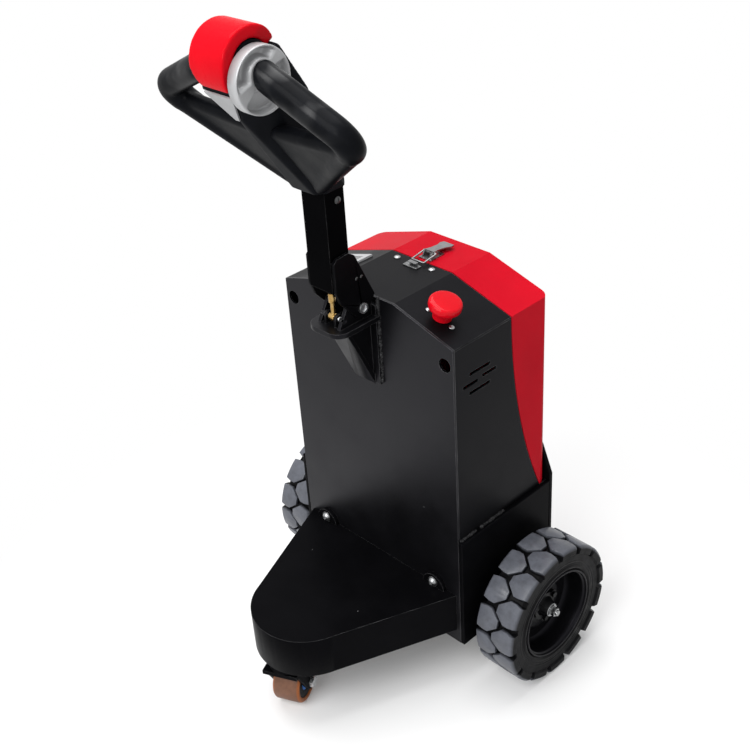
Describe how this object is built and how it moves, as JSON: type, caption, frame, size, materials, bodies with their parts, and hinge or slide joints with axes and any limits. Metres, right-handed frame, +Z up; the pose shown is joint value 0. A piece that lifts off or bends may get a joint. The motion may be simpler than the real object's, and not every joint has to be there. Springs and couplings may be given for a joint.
{
  "type": "electric tow tractor",
  "caption": "Walk-behind electric tow tractor: sheet steel body with red hood on lugged drive wheels, front castor under a rounded nose, tilting tiller and rear tow jaw.",
  "frame": {"origin": "on the floor under the middle of the overall length and width", "axes": "+Z up, -Y towards the tiller and nose, +Y towards the tow jaw, +X to the side with the emergency stop"},
  "size_m": [0.588, 0.5871, 1.1846],
  "materials": {
    "black_steel": "semi-gloss powder coat",
    "red_hood": "satin paint",
    "red_plastic": "smooth gloss",
    "black_plastic": "fine moulded grain",
    "grip_rubber": "soft matte",
    "silver_plastic": "satin moulded",
    "zinc_steel": "bright zinc",
    "dark_iron": "dark painted casting",
    "battery_case": "plain moulded case",
    "brass": "plated",
    "tyre_rubber": "solid rubber with worn grey lug tops",
    "castor_tread": "cast polyurethane",
    "castor_core": "painted core",
    "dark_glass": "smoked window",
    "blue_seal": "moulded seal"
  },
  "bodies": {
    "chassis": {"front_panel": "black_steel", "top_cover": "black_steel", "side_panel_left": "black_steel", "side_panel_right": "black_steel", "chassis_side_left": "black_steel", "chassis_side_right": "black_steel", "rear_plate": "black_steel", "floor_plate": "black_steel", "battery_tray": "black_steel", "battery_pack": "battery_case", "transaxle": "dark_iron", "axle_tubes": "dark_iron", "nose_shell": "black_steel", "nose_floor": "black_steel", "nose_ears": "black_steel", "nose_bolts": "zinc_steel", "castor_plate": "black_steel", "tiller_bracket": "black_steel", "pivot_bolt": "zinc_steel", "estop_button": "red_plastic", "display_panel": "silver_plastic", "display_window": "dark_glass", "cover_screws": "zinc_steel", "latch_strike": "zinc_steel", "tow_jaw": "black_steel", "tow_bolts": "zinc_steel", "tow_pin": "zinc_steel"},
    "tiller": {"tiller_fork": "black_steel", "tiller_screws": "zinc_steel", "tiller_tube": "black_steel", "head_body": "black_plastic", "head_insert": "silver_plastic", "grip_loops": "grip_rubber", "safety_cap": "red_plastic", "thumb_knobs": "silver_plastic"},
    "gas_spring": {"gas_spring": "brass"},
    "hood": {"hood_shell": "red_hood", "hood_latch": "zinc_steel"},
    "left_wheel": {"tyre_left": "tyre_rubber", "rim_left": "black_steel", "hub_left": "dark_iron"},
    "right_wheel": {"tyre_right": "tyre_rubber", "rim_right": "black_steel", "hub_right": "dark_iron"},
    "castor_swivel": {"castor_fork": "black_steel", "castor_axle": "zinc_steel"},
    "castor_wheel": {"castor_tread": "castor_tread", "castor_core": "castor_core", "castor_seals": "blue_seal"}
  },
  "joints": [
    {"name": "left_wheel_spin", "type": "hinge", "parent": "chassis", "child": "left_wheel", "pos_m": [-0.254, 0.12, 0.13], "axis": [1, 0, 0], "continuous": true},
    {"name": "right_wheel_spin", "type": "hinge", "parent": "chassis", "child": "right_wheel", "pos_m": [0.254, 0.12, 0.13], "axis": [1, 0, 0], "continuous": true},
    {"name": "castor_swivel", "type": "hinge", "parent": "chassis", "child": "castor_swivel", "pos_m": [0, -0.258, 0.1], "axis": [0, 0, 1], "continuous": true},
    {"name": "castor_roll", "type": "hinge", "parent": "castor_swivel", "child": "castor_wheel", "pos_m": [-0.01056, -0.23534, 0.04], "axis": [0.9063, 0.4226, 0], "continuous": true},
    {"name": "tiller_tilt", "type": "hinge", "parent": "chassis", "child": "tiller", "pos_m": [0, -0.047, 0.715], "axis": [1, 0, 0], "range_deg": [0, 50]},
    {"name": "gas_spring_pivot", "type": "hinge", "parent": "chassis", "child": "gas_spring", "pos_m": [0, -0.08, 0.703], "axis": [1, 0, 0], "range_deg": [0, 52]},
    {"name": "hood_lift", "type": "slide", "parent": "chassis", "child": "hood", "axis": [0, 0, 1], "range_m": [0, 0.3]}
  ],
  "couplings": [
    {"joint": "gas_spring_pivot", "follows": "tiller_tilt", "ratio": 1.03}
  ]
}
